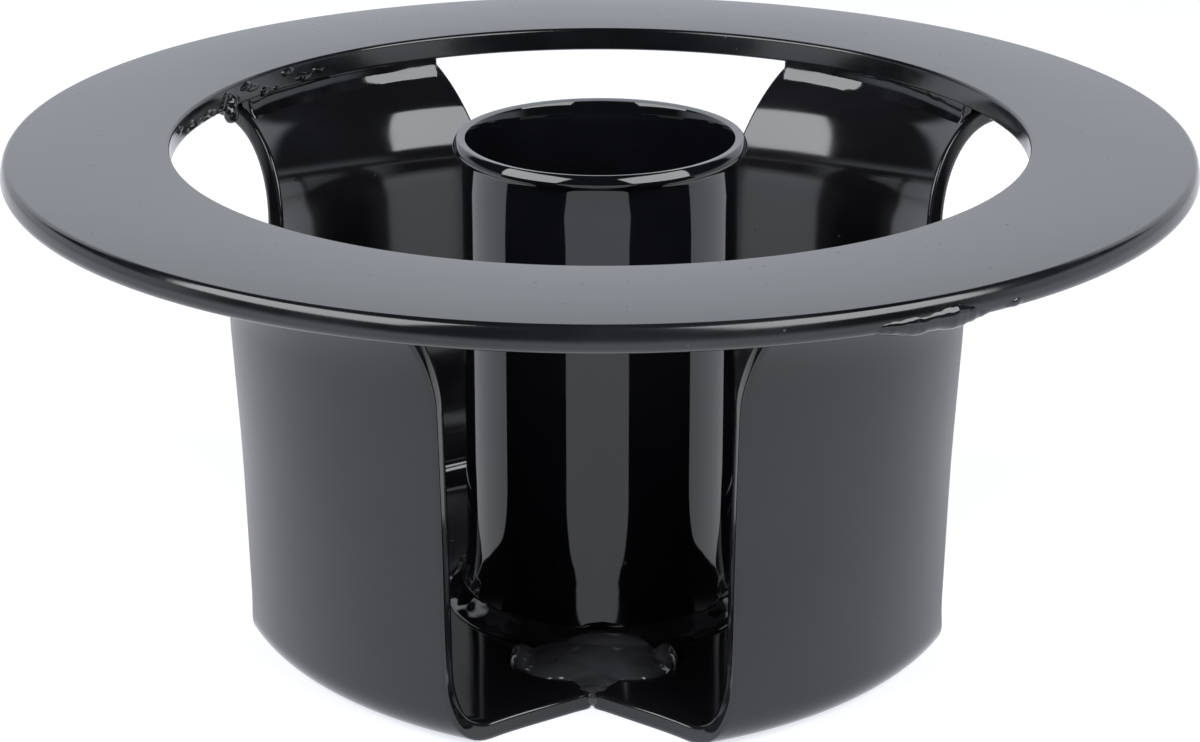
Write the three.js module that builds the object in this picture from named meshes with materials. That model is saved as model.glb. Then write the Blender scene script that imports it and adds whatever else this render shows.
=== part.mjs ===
// Drop-in cup insert: a flat flange ring, four pressed leaves hanging from it,
// and an open centre tube standing on the floor that the leaves make together.
// Millimetres, +Z up, origin at the middle of the base, slots facing X and Y.

import * as THREE from 'three';

// Driving dimensions
const HEIGHT = 94;
const CLEARANCE = 0.3;

const RING_OUTER_RADIUS = 108;
const RING_INNER_RADIUS = 78;
const RING_THICKNESS = 4.6;
const RING_RIM_DEPTH = 3.6;
const RING_BORE_EDGE = 0.7;

const SHEET = 3.2;
const WALL_RADIUS = 68.6;
const WALL_TAPER = 0.05;
const FLARE_REACH = 17.5;
const FLARE_HEIGHT = 22.5;
const BEND_RADIUS = 5.6;
const FLOOR_HOLE_RADIUS = 21;
const LEAF_FLATNESS = 0.016;

const SLOT_HALF_ANGLE = THREE.MathUtils.degToRad(21.5);
const SLOT_TOP_EXTRA = THREE.MathUtils.degToRad(5.6);
const SLOT_TOP_CURVE = 1.3;
const NOTCH_APEX = 46.3;
const NOTCH_FLAT = 1.4;
const NOTCH_HALF_ANGLE = THREE.MathUtils.degToRad(55);
const NOTCH_CORNER = 9;
const SEAM_HALF_GAP = 0.15;

const TUBE_RADIUS = 25.4;
const TUBE_WALL = 1.9;
const LIP_RADIUS = 27;
const LIP_HEIGHT = 2.9;
const LIP_SLOPE = 0.8;
const LIP_EDGE = 0.9;
const TUBE_TOP = 93.2;

const PAD_INNER = 31;
const PAD_OUTER = 42.5;
const PAD_HALF_WIDTH = 14.5;
const PAD_HEIGHT = 2.6;
const PAD_LIP = 1;

const FOOT_WELD_REACH = 4.6;
const FOOT_WELD_HEIGHT = 3.4;
const FOOT_WELD_HOLLOW = 0.45;
const RIM_WELD_RADIUS = 1.2;
const RIM_WELD_INSET = 0.8;
const RIM_WELD_STEPS = 10;

const LEAF_COLUMNS = 8;
const FLARE_ROWS = 10;
const WALL_ROWS = 5;
const BEND_ROWS = 5;
const FLOOR_ROWS = 14;
const RIM_STEPS = 5;
const ROUND_SEGMENTS = 72;

// Heights that follow from them
const RING_UNDERSIDE = HEIGHT - RING_THICKNESS;
const FLOOR_TOP = SHEET;
const LEAF_TOP = RING_UNDERSIDE - CLEARANCE - SHEET / 2;
const FLARE_START = LEAF_TOP - FLARE_HEIGHT;
const FLOOR_REST = FLOOR_TOP + CLEARANCE;

const LEAF_TURNS = { front_left: 225, front_right: 315, back_right: 45, back_left: 135 };
const SLOT_TURNS = { front: 270, right: 0, back: 90, left: 180 };

const enamel = (color, roughness) => () => (
  new THREE.MeshStandardMaterial({ color, roughness, metalness: 0.1 })
);
const RING_FINISH = enamel(0x2b2d31, 0.28);
const LEAF_FINISH = enamel(0x222226, 0.34);
const TUBE_FINISH = enamel(0x0c0d10, 0.1);
const WELD_FINISH = enamel(0x101114, 0.2);

const part = new THREE.Group();

function addPiece(name, geometry, makeMaterial, turnDegrees = 0) {
  const mesh = new THREE.Mesh(geometry, makeMaterial());
  mesh.name = name;
  mesh.rotation.z = THREE.MathUtils.degToRad(turnDegrees);
  part.add(mesh);
}

// A closed outline in (radius, height), spun about Z.
function spin(outline) {
  const points = [...outline, outline[0]];
  const geometry = new THREE.LatheGeometry(points, ROUND_SEGMENTS);
  geometry.rotateX(Math.PI / 2);
  return geometry;
}

function anticlockwise(points) {
  return THREE.ShapeUtils.isClockWise(points) ? points.slice().reverse() : points;
}

// Flange ring: square-edged bore, half-elliptical outer rim.
function ringOutline() {
  const middle = HEIGHT - RING_THICKNESS / 2;
  const rimCentre = RING_OUTER_RADIUS - RING_RIM_DEPTH;
  const inner = RING_INNER_RADIUS;
  const edge = RING_BORE_EDGE;
  const outline = new THREE.Path();
  outline.moveTo(inner + edge, RING_UNDERSIDE);
  outline.lineTo(rimCentre, RING_UNDERSIDE);
  outline.absellipse(
    rimCentre, middle, RING_RIM_DEPTH, RING_THICKNESS / 2, -Math.PI / 2, Math.PI / 2, false,
  );
  outline.lineTo(inner + edge, HEIGHT);
  outline.lineTo(inner, HEIGHT - edge);
  outline.lineTo(inner, RING_UNDERSIDE + edge);
  return withoutRepeats(outline.getPoints(RIM_STEPS));
}

function withoutRepeats(points) {
  return points.filter((point, i) => i === 0 || point.distanceTo(points[i - 1]) > 1e-6);
}

// A leaf's middle surface, seen in section: flare, wall, bend and floor.
function leafSection() {
  const wallTop = new THREE.Vector2(WALL_RADIUS, FLARE_START);
  const bendTop = SHEET / 2 + BEND_RADIUS;
  const wallFoot = new THREE.Vector2(WALL_RADIUS - WALL_TAPER * (FLARE_START - bendTop), bendTop);
  const bendCentre = wallFoot.x - BEND_RADIUS;

  const flare = new THREE.EllipseCurve(
    WALL_RADIUS + FLARE_REACH, FLARE_START, FLARE_REACH, FLARE_HEIGHT, Math.PI / 2, Math.PI,
  );
  const wall = new THREE.LineCurve(wallTop, wallFoot);
  const bend = new THREE.EllipseCurve(
    bendCentre, bendTop, BEND_RADIUS, BEND_RADIUS, 0, -Math.PI / 2, true,
  );
  const floor = new THREE.LineCurve(
    new THREE.Vector2(bendCentre, SHEET / 2), new THREE.Vector2(FLOOR_HOLE_RADIUS, SHEET / 2),
  );
  return [
    ...stations(flare, FLARE_ROWS), ...stations(wall, WALL_ROWS),
    ...stations(bend, BEND_ROWS), ...stations(floor, FLOOR_ROWS, true),
  ];
}

// Points along one stretch, each with the direction that faces the cup's inside.
function stations(curve, count, withEnd = false) {
  const found = [];
  for (let i = 0; i < count + (withEnd ? 1 : 0); i += 1) {
    const along = curve.getTangent(i / count);
    found.push({ point: curve.getPoint(i / count), inward: new THREE.Vector2(along.y, -along.x) });
  }
  return found;
}

// Distance along the sheet from the axis, as if the leaf were hammered flat.
function flattenedRadii(section) {
  const radii = section.map(() => 0);
  radii[section.length - 1] = FLOOR_HOLE_RADIUS;
  for (let i = section.length - 2; i >= 0; i -= 1) {
    radii[i] = radii[i + 1] + section[i].point.distanceTo(section[i + 1].point);
  }
  return radii;
}

// Half the gap between two leaves, measured across the sheet.
function notchHalfWidth(flatRadius) {
  const sine = Math.sin(NOTCH_HALF_ANGLE);
  const cosine = Math.cos(NOTCH_HALF_ANGLE);
  const offset = NOTCH_APEX * sine - NOTCH_FLAT * cosine;
  if (flatRadius < NOTCH_APEX) return SEAM_HALF_GAP;
  return flatRadius * (NOTCH_HALF_ANGLE - Math.asin(offset / flatRadius));
}

function slotHalfWidth({ x: radius, y: height }) {
  const lift = THREE.MathUtils.clamp((height - FLARE_START) / FLARE_HEIGHT, 0, 1);
  return radius * (SLOT_HALF_ANGLE + SLOT_TOP_EXTRA * lift ** SLOT_TOP_CURVE);
}

// The smaller of two widths, with the corner between them rounded.
function blendedMinimum(a, b, reach) {
  const overlap = Math.max(reach - Math.abs(a - b), 0) / reach;
  return Math.min(a, b) - (overlap ** 2 * reach) / 4;
}

// The leaf stops short of the slot on the wall, and of the notch on the floor.
function gapHalfAngle(point, flatRadius) {
  const notch = notchHalfWidth(flatRadius);
  const width = blendedMinimum(slotHalfWidth(point), notch, NOTCH_CORNER);
  return Math.max(width, SEAM_HALF_GAP) / point.x;
}

// One leaf, centred on +X: rows follow the section, columns cross the leaf.
function leafGeometry() {
  const section = leafSection();
  const flatRadii = flattenedRadii(section);
  const skins = [-SHEET / 2, SHEET / 2].map((offset) => section.map((station, row) => {
    const half = Math.PI / 4 - gapHalfAngle(station.point, flatRadii[row]);
    const rim = station.point.clone().addScaledVector(station.inward, offset);
    const squareness = LEAF_FLATNESS * THREE.MathUtils.smoothstep(-rim.y, -HEIGHT / 2, 0);
    return Array.from({ length: LEAF_COLUMNS + 1 }, (_, column) => {
      const across = (2 * column) / LEAF_COLUMNS - 1;
      const angle = half * across;
      const radius = rim.x * (1 + squareness * across ** 2);
      return new THREE.Vector3(radius * Math.cos(angle), radius * Math.sin(angle), rim.y);
    });
  }));
  return thickSheet(skins[0], skins[1]);
}

// Closes two matching grids of points into one solid sheet.
function thickSheet(outer, inner) {
  const rows = outer.length;
  const columns = outer[0].length;
  const vertices = [...outer.flat(), ...inner.flat()];
  const at = (skin, row, column) => skin * rows * columns + row * columns + column;
  const indices = [];
  const quad = (a, b, c, d) => indices.push(a, b, c, a, c, d);
  for (let r = 0; r < rows - 1; r += 1) {
    for (let c = 0; c < columns - 1; c += 1) {
      quad(at(0, r, c), at(0, r + 1, c), at(0, r + 1, c + 1), at(0, r, c + 1));
      quad(at(1, r, c), at(1, r, c + 1), at(1, r + 1, c + 1), at(1, r + 1, c));
    }
    quad(at(0, r, 0), at(1, r, 0), at(1, r + 1, 0), at(0, r + 1, 0));
    const last = columns - 1;
    quad(at(0, r, last), at(0, r + 1, last), at(1, r + 1, last), at(1, r, last));
  }
  for (let c = 0; c < columns - 1; c += 1) {
    quad(at(0, 0, c), at(0, 0, c + 1), at(1, 0, c + 1), at(1, 0, c));
    const end = rows - 1;
    quad(at(0, end, c), at(1, end, c), at(1, end, c + 1), at(0, end, c + 1));
  }
  const geometry = new THREE.BufferGeometry().setFromPoints(vertices);
  geometry.setIndex(indices);
  return geometry;
}

// Centre tube: open at both ends, with its mouth swaged out into a short lip.
function tubeOutline() {
  const bore = TUBE_RADIUS - TUBE_WALL;
  const lipBore = LIP_RADIUS - TUBE_WALL;
  const lipFoot = TUBE_TOP - LIP_HEIGHT;
  const boreFoot = lipFoot - LIP_SLOPE;
  const edgeFoot = TUBE_TOP - LIP_EDGE;
  return [
    [bore, FLOOR_REST], [TUBE_RADIUS, FLOOR_REST], [TUBE_RADIUS, lipFoot],
    [LIP_RADIUS, lipFoot + LIP_SLOPE], [LIP_RADIUS, edgeFoot], [LIP_RADIUS - LIP_EDGE, TUBE_TOP],
    [lipBore + LIP_EDGE, TUBE_TOP], [lipBore, edgeFoot], [lipBore, boreFoot + LIP_SLOPE],
    [bore, boreFoot],
  ].map(([radius, height]) => new THREE.Vector2(radius, height));
}

// Fillet weld all round the tube's foot.
function footWeldOutline() {
  const inner = TUBE_RADIUS + CLEARANCE;
  return [
    [inner, FLOOR_REST], [inner + FOOT_WELD_REACH, FLOOR_REST],
    [
      inner + FOOT_WELD_REACH * FOOT_WELD_HOLLOW,
      FLOOR_REST + FOOT_WELD_HEIGHT * FOOT_WELD_HOLLOW,
    ],
    [inner, FLOOR_REST + FOOT_WELD_HEIGHT],
  ].map(([radius, height]) => new THREE.Vector2(radius, height));
}

// Weld pad over the seam where two leaves' floors meet, thickest by the tube.
function seamPad() {
  const shape = new THREE.Shape();
  shape.moveTo(PAD_INNER, FLOOR_REST);
  shape.lineTo(PAD_OUTER, FLOOR_REST);
  shape.lineTo(PAD_OUTER, FLOOR_REST + PAD_LIP);
  shape.lineTo(PAD_INNER, FLOOR_REST + PAD_HEIGHT);
  shape.closePath();
  const options = { depth: 2 * PAD_HALF_WIDTH, bevelEnabled: false };
  const geometry = new THREE.ExtrudeGeometry(shape, options);
  geometry.translate(0, 0, -PAD_HALF_WIDTH);
  geometry.rotateX(Math.PI / 2);
  return geometry;
}

// Weld bead in the corner between a leaf's flare and the ring's underside.
function rimWeld() {
  const radius = RING_INNER_RADIUS - RIM_WELD_INSET;
  const height = RING_UNDERSIDE - CLEARANCE - RIM_WELD_RADIUS;
  const reach = Math.PI / 4 - SLOT_HALF_ANGLE - SLOT_TOP_EXTRA;
  const path = new THREE.CatmullRomCurve3(Array.from({ length: RIM_WELD_STEPS + 1 }, (_, i) => {
    const angle = reach * ((2 * i) / RIM_WELD_STEPS - 1);
    return new THREE.Vector3(radius * Math.cos(angle), radius * Math.sin(angle), height);
  }));
  const round = new THREE.Shape().absarc(0, 0, RIM_WELD_RADIUS, 0, 2 * Math.PI);
  return new THREE.ExtrudeGeometry(
    round, { steps: RIM_WELD_STEPS, curveSegments: 4, extrudePath: path },
  );
}

addPiece('flange_ring', spin(anticlockwise(ringOutline())), RING_FINISH);
for (const [place, turn] of Object.entries(LEAF_TURNS)) {
  addPiece(`leaf_${place}`, leafGeometry(), LEAF_FINISH, turn);
  addPiece(`rim_weld_${place}`, rimWeld(), WELD_FINISH, turn);
}
addPiece('centre_tube', spin(anticlockwise(tubeOutline())), TUBE_FINISH);
addPiece('foot_weld', spin(anticlockwise(footWeldOutline())), WELD_FINISH);
for (const [place, turn] of Object.entries(SLOT_TURNS)) {
  addPiece(`seam_weld_${place}`, seamPad(), WELD_FINISH, turn);
}

export default part;
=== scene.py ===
# %% [markdown]
# # A cup insert for a kitchen waste disposer
# The real part is a small steel weldment, dipped in black enamel: a flat flange ring, a cup of four
# pressed leaves hanging under it, and a plain tube standing on the cup's floor. It has no moving parts.
# This first cell loads the measured model, which fixes every size. What follows only gives it its looks.

# %% Load the measured frame
import math
import random
import bpy
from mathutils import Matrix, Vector


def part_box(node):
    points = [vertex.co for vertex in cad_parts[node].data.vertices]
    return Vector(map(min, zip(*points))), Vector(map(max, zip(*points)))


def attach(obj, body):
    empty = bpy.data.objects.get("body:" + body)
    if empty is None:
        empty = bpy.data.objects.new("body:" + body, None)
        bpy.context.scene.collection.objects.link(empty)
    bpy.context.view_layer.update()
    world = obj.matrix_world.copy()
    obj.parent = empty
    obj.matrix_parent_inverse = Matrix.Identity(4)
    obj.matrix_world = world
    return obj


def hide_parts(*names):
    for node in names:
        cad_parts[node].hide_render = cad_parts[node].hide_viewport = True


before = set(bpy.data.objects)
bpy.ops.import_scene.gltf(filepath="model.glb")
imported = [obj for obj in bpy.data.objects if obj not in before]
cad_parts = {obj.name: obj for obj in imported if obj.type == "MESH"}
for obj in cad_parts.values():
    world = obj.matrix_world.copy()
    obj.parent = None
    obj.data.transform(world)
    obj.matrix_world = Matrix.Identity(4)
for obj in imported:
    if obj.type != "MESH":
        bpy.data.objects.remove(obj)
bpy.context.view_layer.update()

MM = 0.001


# %% [markdown]
# ## The camera
# A long lens from a little above shows the ring as a slim ellipse and keeps the cup's sides nearly
# upright. The camera stands in front of the open slot, a touch to the right of the middle, and looks down
# at the ring's centre. Depth of field stays off, so every part is sharp, as in a catalogue picture.

# %% Set up the camera
RING_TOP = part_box("flange_ring")[1].z
CAMERA_DISTANCE = 0.55366
CAMERA_RISE = math.radians(15.705)
CAMERA_TILT = math.radians(20.248)
CAMERA_SIDESTEP = math.radians(1.75)
SENSOR_WIDTH = 36
LENS_LENGTH = 90.64

camera = bpy.data.objects.new("camera", bpy.data.cameras.new("camera"))
bpy.context.scene.collection.objects.link(camera)
camera.data.sensor_width = SENSOR_WIDTH
camera.data.lens = LENS_LENGTH
reach = CAMERA_DISTANCE * math.cos(CAMERA_RISE)
camera.location = (
    reach * math.sin(CAMERA_SIDESTEP),
    -reach * math.cos(CAMERA_SIDESTEP),
    RING_TOP + CAMERA_DISTANCE * math.sin(CAMERA_RISE),
)
camera.rotation_euler = (math.pi / 2 - CAMERA_TILT, 0, CAMERA_SIDESTEP)
bpy.context.scene.camera = camera
print("camera at", [round(value, 3) for value in camera.location])


# %% [markdown]
# ## The studio
# Black gloss shows almost nothing of its own colour: what we see on it is the room. So the room is built
# with care: a bright floor, a bright wall behind, two large softboxes at the front corners, and darkness
# everywhere else, which gives the enamel its deep blacks between crisp highlights.
# The standard view transform keeps the white floor white.

# %% Lay the pale floor
FLOOR_SIZE = 12
FLOOR_COLOUR = (0.40, 0.41, 0.43, 1)
FLOOR_GLOW_COLOUR = (0.97, 0.98, 1.04, 1)
FLOOR_GLOW = 0.70
bpy.context.scene.view_settings.view_transform = "Standard"


def deselect_all():
    if bpy.context.mode != "OBJECT":
        bpy.ops.object.mode_set(mode="OBJECT")
    bpy.ops.object.select_all(action="DESELECT")


deselect_all()
bpy.ops.mesh.primitive_plane_add(size=FLOOR_SIZE)
floor = bpy.context.object
floor.name = "floor"

floor_paint = bpy.data.materials.new("floor_paint")
floor_paint.use_nodes = True
floor_shader = floor_paint.node_tree.nodes["Principled BSDF"]
floor_shader.inputs["Base Color"].default_value = FLOOR_COLOUR
floor_shader.inputs["Roughness"].default_value = 1
floor_shader.inputs["Specular IOR Level"].default_value = 0
floor_shader.inputs["Emission Color"].default_value = FLOOR_GLOW_COLOUR
floor_shader.inputs["Emission Strength"].default_value = FLOOR_GLOW
floor.data.materials.append(floor_paint)
print("floor is", FLOOR_SIZE, "m across")

# %% Hang a wide softbox at each front corner
SOFTBOX_DISTANCE = 1.2
SOFTBOX_WIDTH = 1.0
SOFTBOX_HEIGHT = 0.7
SOFTBOX_POWER = 24.3 * SOFTBOX_WIDTH * SOFTBOX_HEIGHT
SOFTBOX_COLOUR = (0.95, 0.98, 1.0)


def hang_softbox(name, turn, rise):
    """A lamp that faces the object from this turn off the front and this rise, in degrees."""
    lamp = bpy.data.objects.new(name, bpy.data.lights.new(name, "AREA"))
    bpy.context.scene.collection.objects.link(lamp)
    lamp.data.shape = "RECTANGLE"
    lamp.data.size = SOFTBOX_WIDTH
    lamp.data.size_y = SOFTBOX_HEIGHT
    lamp.data.energy = SOFTBOX_POWER
    lamp.data.color = SOFTBOX_COLOUR
    turn, rise = math.radians(turn), math.radians(rise)
    lamp.location = SOFTBOX_DISTANCE * Vector(
        (math.cos(rise) * math.sin(turn), -math.cos(rise) * math.cos(turn), math.sin(rise))
    )
    lamp.rotation_euler = (math.pi / 2 - rise, 0, turn)
    return lamp


hang_softbox("softbox_right", 51, 37)
hang_softbox("softbox_left", -56, 35)
print("each softbox gives", round(SOFTBOX_POWER, 1), "W")

# %% The room's own sums
room = bpy.data.worlds.new("studio")
bpy.context.scene.world = room
room.use_nodes = True
nodes, links = room.node_tree.nodes, room.node_tree.links
direction = nodes.new("ShaderNodeTexCoord")
axes = nodes.new("ShaderNodeSeparateXYZ")
links.new(direction.outputs["Generated"], axes.inputs[0])


def combine(tree, operation, *values):
    """A sum of plain numbers and of other nodes' outputs."""
    node = tree.nodes.new("ShaderNodeMath")
    node.operation = operation
    for socket, value in zip(node.inputs, values):
        if isinstance(value, float):
            socket.default_value = value
        else:
            tree.links.new(value, socket)
    return node.outputs[0]


def room_math(operation, *values):
    return combine(room.node_tree, operation, *values)


def soft_step(value, low, high):
    """Rises smoothly from 0 to 1 between two values."""
    node = nodes.new("ShaderNodeMapRange")
    node.interpolation_type = "SMOOTHSTEP"
    node.inputs["From Min"].default_value = low
    node.inputs["From Max"].default_value = high
    links.new(value, node.inputs["Value"])
    return node.outputs["Result"]


def below(value, angle, softness, measure=lambda angle: angle):
    """1 below an angle in degrees and 0 above it, with a soft edge this wide to each side."""
    high, low = (measure(math.radians(angle + side * softness)) for side in (1, -1))
    return soft_step(value, high, low)


# %% Paint the room: a bright wall behind, a low glowing band at the sides, darkness elsewhere
WALL_TOP = 38
WALL_HALF_WIDTH = 55
WALL_COLOUR = (0.93, 0.98, 1.06, 1)
WALL_GLOW = 1.05
WALL_GLOW_RISE = 0.35
HORIZON_TOP = 12
HORIZON_END = 105
DARK_GLOW = 0.02

height_seen = axes.outputs["Z"]
turn_back = room_math("ABSOLUTE", room_math("ARCTAN2", axes.outputs["X"], axes.outputs["Y"]))
on_wall = room_math("MULTIPLY", below(height_seen, WALL_TOP, 2, math.sin), below(turn_back, WALL_HALF_WIDTH, 4))
wall_glow = room_math("MULTIPLY_ADD", soft_step(height_seen, 0.15, 0.40), WALL_GLOW_RISE, WALL_GLOW)
wall_light = room_math("MULTIPLY", on_wall, wall_glow)
horizon = room_math("MULTIPLY", below(height_seen, HORIZON_TOP, 3, math.sin), below(turn_back, HORIZON_END, 10))
strength = room_math("MAXIMUM", room_math("MAXIMUM", wall_light, horizon), DARK_GLOW)

background = nodes["Background"]
background.inputs["Color"].default_value = WALL_COLOUR
links.new(strength, background.inputs["Strength"])
print("studio ready")


# %% [markdown]
# ## Ways of working
# Every piece starts as a line drawn corner by corner in the plane of radius and height, as a lathe worker
# draws a section, and is then spun round the upright axis. These helpers draw and spin.

# %% Draw a line by extruding a corner, and spin it
FULL_TURN = 2 * math.pi
SAME_CORNER = 0.002 * MM
SHARP_EDGE = math.radians(35)


def select_only(piece):
    deselect_all()
    piece.select_set(True)
    bpy.context.view_layer.objects.active = piece


def draw_line(name, points):
    """A tiny plane is merged to one corner, which is extruded from point to point (radius, height)."""
    deselect_all()
    start = points[0]
    bpy.ops.mesh.primitive_plane_add(size=MM, location=(start[0], 0, start[1]))
    piece = bpy.context.object
    piece.name = piece.data.name = name
    bpy.ops.object.transform_apply(location=True)
    bpy.ops.object.mode_set(mode="EDIT")
    bpy.ops.mesh.select_all(action="SELECT")
    bpy.ops.mesh.merge(type="CENTER")
    for before, after in zip(points, points[1:]):
        step = (after[0] - before[0], 0, after[1] - before[1])
        bpy.ops.mesh.extrude_region_move(TRANSFORM_OT_translate={"value": step})
    return piece


def spin_line(steps, angle=FULL_TURN):
    """Spins the line being edited clockwise round the upright axis, and turns its faces outwards."""
    bpy.ops.mesh.select_all(action="SELECT")
    bpy.ops.mesh.spin(steps=steps, angle=angle, center=(0, 0, 0), axis=(0, 0, 1))
    bpy.ops.mesh.select_all(action="SELECT")
    bpy.ops.mesh.remove_doubles(threshold=SAME_CORNER)
    bpy.ops.mesh.normals_make_consistent(inside=False)
    bpy.ops.object.mode_set(mode="OBJECT")


def arc(centre, radii, start, end, steps):
    """Points on an ellipse from one angle to another, in degrees, round a centre given in mm."""
    turns = [math.radians(start + (end - start) * step / steps) for step in range(steps + 1)]
    return [(centre[0] + radii[0] * math.cos(t), centre[1] + radii[1] * math.sin(t)) for t in turns]


def in_metres(points):
    return [(radius * MM, height * MM) for radius, height in points]


def finish_modifiers(piece):
    select_only(piece)
    for modifier in list(piece.modifiers):
        bpy.ops.object.modifier_apply(modifier=modifier.name)


def stand_for(piece, slot, *nodes_replaced):
    """The piece rides on the one rigid body and hides what it is a finer form of; the slot is not used."""
    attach(piece, "root")
    if nodes_replaced:
        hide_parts(*nodes_replaced)


# %% [markdown]
# ## The flange ring
# The ring is cut from plate about 4.6 mm thick. Its outer edge keeps a steep cut face, tight at the top
# corner and rounded off below by grinding and the dip, while the bore has only a small break. The edge is
# drawn by walking along it and turning steadily, as a pencil would, and the section is then spun round.

# %% Draw and spin the ring
RING_OUTER = 108.0
RING_BORE = 78.0
RING_FACE = 94.0
RING_BACK = 89.4
# Each run along the edge: which way its skin faces at its start and end, in degrees above the outward
# level, and how long it is, in mm.
RIM_RUNS = [
    (90, 36, 1.05),
    (36, 19, 0.8),
    (19, 7, 1.25),
    (7, -25, 0.55),
    (-25, -60, 1.1),
    (-60, -90, 0.5),
]
BORE_BREAK = 0.7
RING_STEPS = 288


def walk_edge(runs, outermost, top, steps=6):
    """Points down an edge whose skin turns steadily along each run, moved out to reach this radius."""
    points = [(0.0, top)]
    for start, end, length in runs:
        pace = length / steps
        for step in range(steps):
            tilt = math.radians(start + (end - start) * (step + 0.5) / steps)
            radius, height = points[-1]
            points.append((radius + math.sin(tilt) * pace, height - math.cos(tilt) * pace))
    shift = outermost - max(radius for radius, height in points)
    return [(radius + shift, height) for radius, height in points]


rim = walk_edge(RIM_RUNS, RING_OUTER, RING_FACE)
squeeze = (RING_FACE - RING_BACK) / (RING_FACE - rim[-1][1])
rim = [(radius, RING_FACE - (RING_FACE - height) * squeeze) for radius, height in rim]
print("the rim's edge starts at radius", round(rim[0][0], 2), "and was squeezed by", round(squeeze, 3))
ring_section = (
    rim[::-1]
    + arc((RING_BORE + BORE_BREAK, RING_FACE - BORE_BREAK), (BORE_BREAK, BORE_BREAK), 90, 180, 5)
    + arc((RING_BORE + BORE_BREAK, RING_BACK + BORE_BREAK), (BORE_BREAK, BORE_BREAK), 180, 270, 5)
)
ring = draw_line("ring", in_metres(ring_section + ring_section[:1]))
spin_line(RING_STEPS)
select_only(ring)
bpy.ops.object.shade_smooth_by_angle(angle=SHARP_EDGE)
stand_for(ring, "ring_enamel", "flange_ring")
print("ring faces", len(ring.data.polygons))


# %% [markdown]
# ## The four leaves
# The cup is four alike pressed leaves: each runs from under the ring down a flared throat and a nearly
# upright wall, and turns in to the floor. Between two leaves an upright slot is open, and at its foot a
# V-shaped notch. One leaf is a line spun through a quarter turn, each row is then drawn together to
# the width that the slot and the notch leave, and Solidify gives the sheet its thickness.

# %% The leaf's own line, from under the ring to the floor
SHEET = 3.2
FLARE_CENTRE = (86.1, 65.0)
FLARE_SIZE = (17.5, 22.5)
BEND = 5.6
FLOOR_LEVEL = 1.6
BEND_CENTRE = (60.11, 7.2)
FLOOR_HOLE = 21.0
WALL_KNEE = 0.72
FLOOR_KNEE = 44.0


def evenly(start, end, steps):
    """Points on a straight line between two points, without the first."""
    parts = [step / steps for step in range(1, steps + 1)]
    return [tuple(a + (b - a) * part for a, b in zip(start, end)) for part in parts]


wall_top = (FLARE_CENTRE[0] - FLARE_SIZE[0], FLARE_CENTRE[1])
wall_foot = (BEND_CENTRE[0] + BEND, BEND_CENTRE[1])
wall_knee = tuple(top + (foot - top) * WALL_KNEE for top, foot in zip(wall_top, wall_foot))
floor_start = (BEND_CENTRE[0], FLOOR_LEVEL)
floor_knee = (FLOOR_KNEE, FLOOR_LEVEL)
leaf_line = (
    arc(FLARE_CENTRE, FLARE_SIZE, 90, 180, 12)
    + evenly(wall_top, wall_knee, 12)
    + evenly(wall_knee, wall_foot, 9)
    + arc(BEND_CENTRE, (BEND, BEND), 0, -90, 8)[1:]
    + evenly(floor_start, floor_knee, 16)
    + evenly(floor_knee, (FLOOR_HOLE, FLOOR_LEVEL), 8)
)
print("points on the leaf's line", len(leaf_line))

# %% How wide the gap between two leaves is, at each height
NOTCH_APEX = 46.3
NOTCH_FLAT = 1.4
NOTCH_ANGLE = math.radians(55)
NOTCH_CORNER = 9.0
SLOT_ANGLE = math.radians(21.5)
SLOT_EXTRA = math.radians(5.6)
SLOT_CURVE = 1.3
SEAM_HALF = 0.15
EDGE_SHRINK = 0.35


def notch_half_width(along):
    """Half of the notch, at a distance along the sheet from the axis."""
    if along < NOTCH_APEX:
        return SEAM_HALF
    edge = NOTCH_APEX * math.sin(NOTCH_ANGLE) - NOTCH_FLAT * math.cos(NOTCH_ANGLE)
    return along * (NOTCH_ANGLE - math.asin(edge / along))


def gap_half_angle(radius, height, along):
    """The slot and the notch meet in one soft corner."""
    lift = min(max((height - FLARE_CENTRE[1]) / FLARE_SIZE[1], 0), 1)
    slot = radius * (SLOT_ANGLE + SLOT_EXTRA * lift**SLOT_CURVE)
    notch = notch_half_width(along)
    overlap = max(NOTCH_CORNER - abs(slot - notch), 0) / NOTCH_CORNER
    width = min(slot, notch) - overlap**2 * NOTCH_CORNER / 4
    return max(width - EDGE_SHRINK, SEAM_HALF) / radius


print("the slot is", round(2 * wall_top[0] * SLOT_ANGLE, 1), "mm wide along the wall")


# %% Spin one leaf and draw its rows together
LEAF_COLUMNS = 18
QUARTER = math.pi / 2
LEAF_FLATNESS = 0.016
EDGE_CROWDING = 0.25
HALF_HEIGHT = 47.0

leaf = draw_line("cup_leaf", in_metres(leaf_line))
spin_line(LEAF_COLUMNS, QUARTER)

distances = [0.0]
for before, after in zip(leaf_line, leaf_line[1:]):
    distances.append(distances[-1] + math.dist(before, after))
alongs = [distances[-1] - distance + FLOOR_HOLE for distance in distances]

for vertex in leaf.data.vertices:
    x, y, height = (value / MM for value in vertex.co)
    radius = math.hypot(x, y)
    row = min(range(len(leaf_line)), key=lambda i: math.dist(leaf_line[i], (radius, height)))
    across = math.atan2(y, x) / (QUARTER / 2) + 1
    crowded = across * (1 + EDGE_CROWDING - EDGE_CROWDING * across**2)
    turn = crowded * (QUARTER / 2 - gap_half_angle(radius, height, alongs[row]))
    fade = min(max((HALF_HEIGHT - height) / HALF_HEIGHT, 0), 1)
    radius *= 1 + LEAF_FLATNESS * fade * fade * (3 - 2 * fade) * crowded**2
    vertex.co = Vector((radius * math.cos(turn), radius * math.sin(turn), height)) * MM
print("leaf corners", len(leaf.data.vertices))

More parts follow.
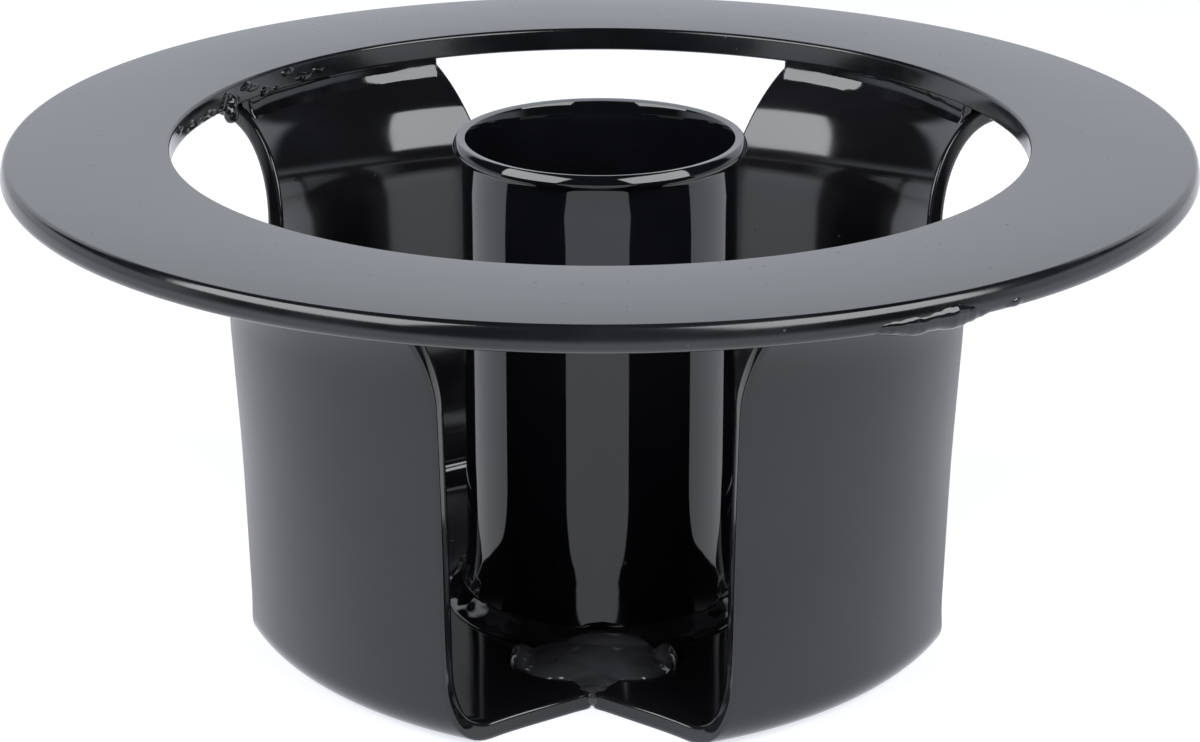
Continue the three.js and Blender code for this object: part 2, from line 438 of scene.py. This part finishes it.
# %% Give the leaf its thickness and rounded edges
EDGE_CREASE = 0.45
select_only(leaf)
bpy.ops.object.mode_set(mode="EDIT")
bpy.ops.mesh.select_all(action="SELECT")
bpy.ops.mesh.normals_make_consistent(inside=False)
bpy.ops.object.mode_set(mode="OBJECT")
sheet = leaf.modifiers.new("sheet", "SOLIDIFY")
sheet.thickness = SHEET * MM
sheet.offset = 0
sheet.edge_crease_inner = sheet.edge_crease_outer = EDGE_CREASE
rounding = leaf.modifiers.new("rounding", "SUBSURF")
rounding.levels = rounding.render_levels = 2
finish_modifiers(leaf)
bpy.ops.object.shade_smooth()
print("leaf faces", len(leaf.data.polygons))

# %% Copy the leaf to its four places
LEAF_PLACES = {"front_left": 225, "front_right": 315, "back_right": 45, "back_left": 135}


def turned_copy(piece, name, degrees):
    """A copy with its own mesh, turned round the upright axis, its place kept in the mesh."""
    copy = piece.copy()
    copy.data = piece.data.copy()
    copy.name = copy.data.name = name
    bpy.context.scene.collection.objects.link(copy)
    select_only(copy)
    copy.rotation_euler = (0, 0, math.radians(degrees))
    bpy.ops.object.transform_apply(rotation=True)
    return copy


leaves = []
for place, degrees in LEAF_PLACES.items():
    leaves.append(turned_copy(leaf, f"cup_leaf_{place}", degrees))
    stand_for(leaves[-1], "leaf_enamel", f"leaf_{place}")
bpy.data.objects.remove(leaf)
print("leaves", [piece.name for piece in leaves])


# %% [markdown]
# ## The centre tube
# A length of two-inch tube stands on the floor. Its mouth is swaged out into a short steep lip, whose
# narrow top catches a thin line of light. At its foot the enamel has drained down and thickened the wall
# by a hair, so the wall starts to lean outwards there. It is the glossiest part, with hardly a ripple.

# %% Draw and spin the tube
TUBE_OUTER = 25.4
TUBE_WALL = 1.9
TUBE_FOOT = 3.5
TUBE_TOP = 93.2
LIP_OUTER = 27.0
LIP_RUNS = [
    (90, 38, 0.35),
    (38, 20, 1.35),
    (20, -20, 0.6),
    (-20, -80, 0.9),
    (-80, -40, 0.9),
]
LIP_INSIDE = [(24.75, 92.95), (24.5, 92.3), (24.2, 90.0), (23.8, 86.0)]
OUTSIDE_HEIGHTS = [3.5, 5, 6, 7, 8, 9, 10, 11, 12, 13.5, 15, 17.5, 30, 50, 70, 85]
BORE_HEIGHTS = [80.0, 60.0, 30.0, TUBE_FOOT]
DRAIN_TOP = 17.5
DRAIN_GROWTH = 0.0072
TUBE_STEPS = 192


def drained_radius(height):
    """The tube's outer radius: enamel gathers over the last few mm above the foot."""
    return TUBE_OUTER + DRAIN_GROWTH * max(DRAIN_TOP - height, 0) ** 2


tube_bore = TUBE_OUTER - TUBE_WALL
lip = walk_edge(LIP_RUNS, LIP_OUTER, TUBE_TOP)
tube_section = (
    [(drained_radius(height), height) for height in OUTSIDE_HEIGHTS]
    + [(TUBE_OUTER, lip[-1][1] - 0.5)]
    + lip[::-1]
    + LIP_INSIDE
    + [(tube_bore, height) for height in BORE_HEIGHTS]
)
tube = draw_line("tube", in_metres(tube_section + tube_section[:1]))
spin_line(TUBE_STEPS)
select_only(tube)
bpy.ops.object.shade_smooth_by_angle(angle=SHARP_EDGE)
stand_for(tube, "tube_enamel", "centre_tube")
print("tube faces", len(tube.data.polygons))


# %% [markdown]
# ## The welds
# Under the dip lie hand-made welds: a ragged bead round the tube's foot, a pad of weld over the seam
# between each two leaves, and beads under the ring. Enamel pools over them in glassy lumps. The pads,
# drips and run are built from squashed balls run together, the beads are spun sections, and cloud noise
# pushes their skin in and out.

# %% Let a piece's skin run in lumps
def lump(piece, name, size, depth):
    """Pushes the skin in and out by cloud noise of this size and depth, in mm."""
    noise = bpy.data.textures.new(name, "CLOUDS")
    noise.noise_scale = size * MM
    push = piece.modifiers.new(name, "DISPLACE")
    push.texture = noise
    push.texture_coords = "LOCAL"
    push.strength = depth * MM
    push.mid_level = 0.5


def run_together(piece, voxel, smooth):
    """Fuses overlapping lumps to one skin and smooths it."""
    skin = piece.modifiers.new("skin", "REMESH")
    skin.mode = "VOXEL"
    skin.voxel_size = voxel * MM
    ease = piece.modifiers.new("ease", "SMOOTH")
    ease.iterations = smooth
    ease.factor = 0.5


# %% Lay the bead round the tube's foot
FOOT_STEPS = 240
FOOT_SECTION = [
    (24.8, 2.6), (30.6, 2.6), (30.5, 3.4), (29.7, 4.3), (28.7, 5.0),
    (27.7, 5.6), (26.9, 6.1), (26.2, 6.6), (24.8, 6.6),
]
foot = draw_line("weld_foot", in_metres(FOOT_SECTION + FOOT_SECTION[:1]))
spin_line(FOOT_STEPS)
rounding = foot.modifiers.new("rounding", "SUBSURF")
rounding.levels = rounding.render_levels = 1
lump(foot, "foot_lumps", 14.0, 1.7)
finish_modifiers(foot)
bpy.ops.object.shade_smooth()
stand_for(foot, "weld_enamel", "foot_weld")
print("foot bead faces", len(foot.data.polygons))

# %% Build a weld from squashed balls
def build_lumps(name, balls, degrees=0):
    """Each ball: out from the axis, across, height, its three half sizes in mm, then a turn of its own."""
    parts = []
    for out, across, height, deep, wide, high, turn in balls:
        deselect_all()
        centre = (out * MM, across * MM, height * MM)
        bpy.ops.mesh.primitive_ico_sphere_add(subdivisions=3, radius=MM, location=centre)
        ball = bpy.context.object
        ball.scale = (deep, wide, high)
        bpy.ops.object.transform_apply(location=True, scale=True)
        ball.rotation_euler = (0, 0, math.radians(turn))
        bpy.ops.object.transform_apply(rotation=True)
        parts.append(ball)
    deselect_all()
    for part in parts:
        part.select_set(True)
    bpy.context.view_layer.objects.active = parts[0]
    bpy.ops.object.join()
    piece = bpy.context.object
    piece.name = piece.data.name = name
    piece.rotation_euler = (0, 0, math.radians(degrees))
    bpy.ops.object.transform_apply(rotation=True)
    return piece


# %% Build the pad over each seam
SEAM_PLACES = {"front": 270, "right": 0, "back": 90, "left": 180}
PAD_BALLS = [
    (33.4, 0.0, 3.0, 7.4, 14.4, 2.6, 0),
    (36.6, -3.0, 2.6, 5.4, 10.5, 2.5, 0),
    (36.4, 6.0, 2.7, 5.0, 8.0, 2.4, 0),
    (33.0, -13.4, 3.0, 4.4, 2.4, 2.7, 0),
    (32.5, 13.0, 3.2, 4.2, 2.2, 2.8, 0),
    (29.6, 2.0, 4.0, 3.4, 8.0, 2.8, 0),
    (41.6, 0.6, 2.3, 3.8, 5.0, 1.5, 0),
    (45.0, 0.3, 1.8, 2.4, 4.2, 1.8, 0),
]

SIDE_PAD_WIDTH = 0.5
SIDE_PAD_HEIGHT = 0.75


def smaller(ball):
    """The pads away from the front are laid narrower and flatter."""
    scales = (1, SIDE_PAD_WIDTH, SIDE_PAD_HEIGHT, 1, SIDE_PAD_WIDTH, SIDE_PAD_HEIGHT, 1)
    return tuple(value * scale for value, scale in zip(ball, scales))


pads = []
for place, degrees in SEAM_PLACES.items():
    balls = PAD_BALLS if place == "front" else [smaller(ball) for ball in PAD_BALLS]
    pad = build_lumps(f"weld_seam_{place}", balls, degrees)
    run_together(pad, 0.4, 6)
    lump(pad, f"pad_lumps_{place}", 9.0, 1.4)
    finish_modifiers(pad)
    bpy.ops.object.shade_smooth()
    stand_for(pad, "weld_enamel", f"seam_weld_{place}")
    pads.append(pad)
print("pad faces", [len(pad.data.polygons) for pad in pads])

# %% Run the beads under the ring
RIM_BEAD_SECTION = [
    (80.0, 90.6), (78.3, 90.6), (78.1, 89.0), (77.7, 87.6), (77.1, 86.4),
    (76.2, 85.2), (75.4, 83.8), (76.6, 83.8), (80.0, 87.4),
]
RIM_BEAD_SPAN = math.radians(35.8)
RIM_BEAD_STEPS = 60

beads = []
for place, degrees in LEAF_PLACES.items():
    bead = draw_line(f"weld_rim_{place}", in_metres(RIM_BEAD_SECTION + RIM_BEAD_SECTION[:1]))
    bpy.ops.mesh.select_all(action="SELECT")
    bpy.ops.mesh.remove_doubles(threshold=5 * SAME_CORNER)
    spin_line(RIM_BEAD_STEPS, RIM_BEAD_SPAN)
    bpy.ops.object.mode_set(mode="EDIT")
    bpy.ops.mesh.select_all(action="DESELECT")
    bpy.ops.mesh.select_non_manifold()
    bpy.ops.mesh.fill()
    bpy.ops.mesh.select_all(action="SELECT")
    bpy.ops.mesh.normals_make_consistent(inside=False)
    bpy.ops.object.mode_set(mode="OBJECT")
    bead.rotation_euler = (0, 0, math.radians(degrees) + RIM_BEAD_SPAN / 2)
    select_only(bead)
    bpy.ops.object.transform_apply(rotation=True)
    run_together(bead, 0.35, 6)
    lump(bead, f"rim_lumps_{place}", 16.0, 0.35)
    finish_modifiers(bead)
    bpy.ops.object.shade_smooth()
    stand_for(bead, "weld_enamel", f"rim_weld_{place}")
    beads.append(bead)
print("rim bead faces", [len(bead.data.polygons) for bead in beads])

# %% Let enamel drip round the bore and run along the rim
DRIPS = 18
DRIP_START, DRIP_SPACING = 138, 2.3

chance = random.Random(11)
drip_balls = [(77.7, 0.0, 88.8, 1.3, 1.8, 2.0, 158.0), (78.0, 0.0, 90.6, 1.0, 1.4, 1.5, 157.0)]
for step in range(DRIPS):
    turn = DRIP_START + step * DRIP_SPACING + chance.uniform(-1, 1)
    height = chance.uniform(90.2, 92.6)
    sizes = [chance.uniform(least, most) for least, most in ((0.7, 1.0), (1.4, 3.0), (0.6, 1.3))]
    drip_balls.append((78.5, 0.0, height, *sizes, turn))
drips = build_lumps("enamel_drips", drip_balls)
run_together(drips, 0.3, 3)
lump(drips, "drip_ripples", 3.0, 0.6)
finish_modifiers(drips)
bpy.ops.object.shade_smooth()
stand_for(drips, "weld_enamel")

RUN_START, RUN_END = -65.5, -51.0
RUN_STEPS = 16
run_balls = []
for step in range(RUN_STEPS):
    part = step / (RUN_STEPS - 1)
    swell = 0.25 + math.sin(math.pi * min(part * 1.2, 1)) * 0.9
    turn = RUN_START + (RUN_END - RUN_START) * part
    run_balls.append((106.4, 0.0, 90.6 - 0.2 * swell, 1.6 + 0.3 * swell, 2.6, 1.0 + 1.1 * swell, turn))
run = build_lumps("enamel_run", run_balls)
run_together(run, 0.3, 16)
lump(run, "run_folds", 8.0, 1.5)
finish_modifiers(run)
bpy.ops.object.shade_smooth()
stand_for(run, "weld_enamel")
print("drips and run", len(drips.data.polygons), len(run.data.polygons))


# %% [markdown]
# ## The finish
# All of it wears one black enamel, but each part shows it differently. The ring's flat face is a little
# streaked and holds dust, the leaves have a smooth skin, the tube is like a mirror and the welds look wet.
# The floor's pads wear a paler colour in patches, which is painted reflection of the light their lumpy
# weld catches. The small effects that they share are node groups, which each material places with its own
# values.

# %% Start a node group with its sockets
def new_group(name, inputs, outputs):
    group = bpy.data.node_groups.new(name, "ShaderNodeTree")
    for label, value in inputs.items():
        socket = group.interface.new_socket(label, in_out="INPUT", socket_type="NodeSocketFloat")
        socket.default_value = value
    for label in outputs:
        group.interface.new_socket(label, in_out="OUTPUT", socket_type="NodeSocketFloat")
    enter = group.nodes.new("NodeGroupInput")
    leave = group.nodes.new("NodeGroupOutput")
    return group, enter, leave


def object_point(tree):
    return tree.nodes.new("ShaderNodeTexCoord").outputs["Object"]


# %% The orange peel
def build_orange_peel():
    """A gentle skin of ripples: the height of a soft noise."""
    group, enter, leave = new_group("orange_peel", {"Scale": 300.0, "Detail": 2.0}, ["Height"])
    noise = group.nodes.new("ShaderNodeTexNoise")
    group.links.new(object_point(group), noise.inputs["Vector"])
    group.links.new(enter.outputs["Scale"], noise.inputs["Scale"])
    group.links.new(enter.outputs["Detail"], noise.inputs["Detail"])
    group.links.new(noise.outputs["Fac"], leave.inputs["Height"])
    return group


ORANGE_PEEL = build_orange_peel()


# %% The specks
def build_specks():
    """Dust grains and pin holes: small round marks, some left out by a second noise."""
    group, enter, leave = new_group("specks", {"Scale": 400.0, "Size": 0.12, "Rarity": 0.62}, ["Mask"])
    cells = group.nodes.new("ShaderNodeTexVoronoi")
    group.links.new(object_point(group), cells.inputs["Vector"])
    group.links.new(enter.outputs["Scale"], cells.inputs["Scale"])
    near = combine(group, "LESS_THAN", cells.outputs["Distance"], enter.outputs["Size"])
    choice = group.nodes.new("ShaderNodeSeparateColor")
    group.links.new(cells.outputs["Color"], choice.inputs[0])
    rare = combine(group, "GREATER_THAN", choice.outputs[0], enter.outputs["Rarity"])
    group.links.new(combine(group, "MULTIPLY", near, rare), leave.inputs["Mask"])
    return group


SPECKS = build_specks()


# %% The streaks
def build_streaks():
    """Long faint streaks left by wiping and dipping: a noise stretched along one axis."""
    group, enter, leave = new_group("streaks", {"Length": 12.0, "Width": 400.0}, ["Value"])
    scale = group.nodes.new("ShaderNodeCombineXYZ")
    group.links.new(enter.outputs["Length"], scale.inputs[0])
    group.links.new(enter.outputs["Width"], scale.inputs[1])
    group.links.new(enter.outputs["Width"], scale.inputs[2])
    stretch = group.nodes.new("ShaderNodeVectorMath")
    stretch.operation = "MULTIPLY"
    group.links.new(object_point(group), stretch.inputs[0])
    group.links.new(scale.outputs[0], stretch.inputs[1])
    noise = group.nodes.new("ShaderNodeTexNoise")
    noise.inputs["Scale"].default_value = 1.0
    noise.inputs["Detail"].default_value = 4.0
    group.links.new(stretch.outputs[0], noise.inputs["Vector"])
    group.links.new(noise.outputs["Fac"], leave.inputs["Value"])
    return group


STREAKS = build_streaks()
print("shared effects:", [group.name for group in bpy.data.node_groups])


# %% Place the effects in a material
def place(tree, group, **values):
    """Puts a shared effect in a material, with this material's own values."""
    node = tree.nodes.new("ShaderNodeGroup")
    node.node_tree = group
    for label, value in values.items():
        node.inputs[label].default_value = value
    return node.outputs[0]


def ranged(tree, value, source, target):
    """Stretches a value from one (low, high) range to another."""
    node = tree.nodes.new("ShaderNodeMapRange")
    for label, number in zip(("From Min", "From Max", "To Min", "To Max"), (*source, *target)):
        node.inputs[label].default_value = number
    tree.links.new(value, node.inputs["Value"])
    return node.outputs["Result"]


# %% Mix an enamel from a base, a gloss and the shared effects
TINT_RANGE = (0.0, 0.6)
TINT_CLOUDS = (0.4, 0.7)
UNEVEN_CLOUDS = (0.35, 0.65)
DUST_ROUGHNESS = 0.2


def mix_enamel(name, colour, light_colour, gloss, drift, peel, specks, streaks):
    """gloss is (lowest, highest) roughness; peel, specks and streaks hold each effect's own values."""
    paint = bpy.data.materials.new(name)
    paint.use_nodes = True
    tree = paint.node_tree
    shader = tree.nodes["Principled BSDF"]

    def times(first, second):
        return combine(tree, "MULTIPLY", first, second)

    def plus(first, second):
        return combine(tree, "ADD", first, second)

    dust = place(tree, SPECKS, Scale=specks["scale"], Size=specks["size"], Rarity=specks["rarity"])
    cloud = place(tree, ORANGE_PEEL, Scale=drift, Detail=4.0)
    streak = place(tree, STREAKS, Length=streaks["length"], Width=streaks["width"])
    ripple = place(tree, ORANGE_PEEL, Scale=peel["scale"], Detail=2.0)

    tint = tree.nodes.new("ShaderNodeMix")
    tint.data_type = "RGBA"
    tint.inputs["A"].default_value = (*colour, 1)
    tint.inputs["B"].default_value = (*light_colour, 1)
    shade = plus(times(ranged(tree, cloud, TINT_CLOUDS, TINT_RANGE), streak), times(dust, specks["tint"]))
    tree.links.new(shade, tint.inputs["Factor"])
    tree.links.new(tint.outputs["Result"], shader.inputs["Base Color"])

    uneven = plus(times(streak, streaks["share"]), times(cloud, 1.0 - streaks["share"]))
    rough = plus(ranged(tree, uneven, UNEVEN_CLOUDS, gloss), times(dust, DUST_ROUGHNESS))
    tree.links.new(rough, shader.inputs["Roughness"])

    marks = plus(times(streak, streaks["bump"]), times(dust, specks["bump"]))
    bump = tree.nodes.new("ShaderNodeBump")
    bump.inputs["Distance"].default_value = MM
    tree.links.new(plus(times(ripple, peel["bump"]), marks), bump.inputs["Height"])
    tree.links.new(bump.outputs["Normal"], shader.inputs["Normal"])
    print(name, "has", len(tree.nodes), "nodes")
    return paint


def dress(pieces, paint):
    for piece in pieces:
        piece.data.materials.clear()
        piece.data.materials.append(paint)


# %% The ring's enamel
ring_enamel = mix_enamel(
    "ring_enamel",
    colour=(0.0035, 0.0037, 0.0045),
    light_colour=(0.02, 0.022, 0.026),
    gloss=(0.10, 0.2),
    drift=30.0,
    peel={"scale": 260.0, "bump": 0.012},
    specks={"scale": 420.0, "size": 0.11, "rarity": 0.9, "tint": 0.7, "bump": 0.03},
    streaks={"length": 14.0, "width": 420.0, "share": 0.3, "bump": 0.001},
)
dress([ring], ring_enamel)

# %% The leaves' smooth skin
leaf_enamel = mix_enamel(
    "leaf_enamel",
    colour=(0.0045, 0.0045, 0.0055),
    light_colour=(0.012, 0.012, 0.015),
    gloss=(0.07, 0.11),
    drift=40.0,
    peel={"scale": 90.0, "bump": 0.012},
    specks={"scale": 300.0, "size": 0.1, "rarity": 0.95, "tint": 0.9, "bump": 0.02},
    streaks={"length": 60.0, "width": 300.0, "share": 0.3, "bump": 0.0},
)
dress(leaves, leaf_enamel)

# %% The tube's mirror gloss
tube_enamel = mix_enamel(
    "tube_enamel",
    colour=(0.0025, 0.0026, 0.0035),
    light_colour=(0.006, 0.006, 0.008),
    gloss=(0.03, 0.06),
    drift=60.0,
    peel={"scale": 120.0, "bump": 0.006},
    specks={"scale": 300.0, "size": 0.08, "rarity": 0.97, "tint": 0.9, "bump": 0.02},
    streaks={"length": 30.0, "width": 300.0, "share": 0.3, "bump": 0.001},
)
dress([tube], tube_enamel)

# %% The welds' wet gloss
weld_enamel = mix_enamel(
    "weld_enamel",
    colour=(0.003, 0.003, 0.004),
    light_colour=(0.03, 0.03, 0.034),
    gloss=(0.03, 0.08),
    drift=120.0,
    peel={"scale": 300.0, "bump": 0.01},
    specks={"scale": 500.0, "size": 0.1, "rarity": 0.95, "tint": 0.9, "bump": 0.03},
    streaks={"length": 150.0, "width": 300.0, "share": 0.3, "bump": 0.0},
)
dress([foot, drips, run, *beads], weld_enamel)

# %% The pads' enamel, lightened in patches by painted reflection of the light the lumpy weld catches
pad_enamel_painted_reflection = mix_enamel(
    "pad_enamel_painted_reflection",
    # Both colours are painted reflection: they lighten the pads in patches where the real weld's facets mirror
    # the floor and lamps.
    colour=(0.024, 0.024, 0.027),
    light_colour=(0.10, 0.10, 0.11),
    gloss=(0.08, 0.16),
    drift=90.0,
    peel={"scale": 300.0, "bump": 0.01},
    specks={"scale": 500.0, "size": 0.1, "rarity": 0.95, "tint": 0.9, "bump": 0.03},
    streaks={"length": 60.0, "width": 120.0, "share": 0.3, "bump": 0.0},
)
dress(pads, pad_enamel_painted_reflection)
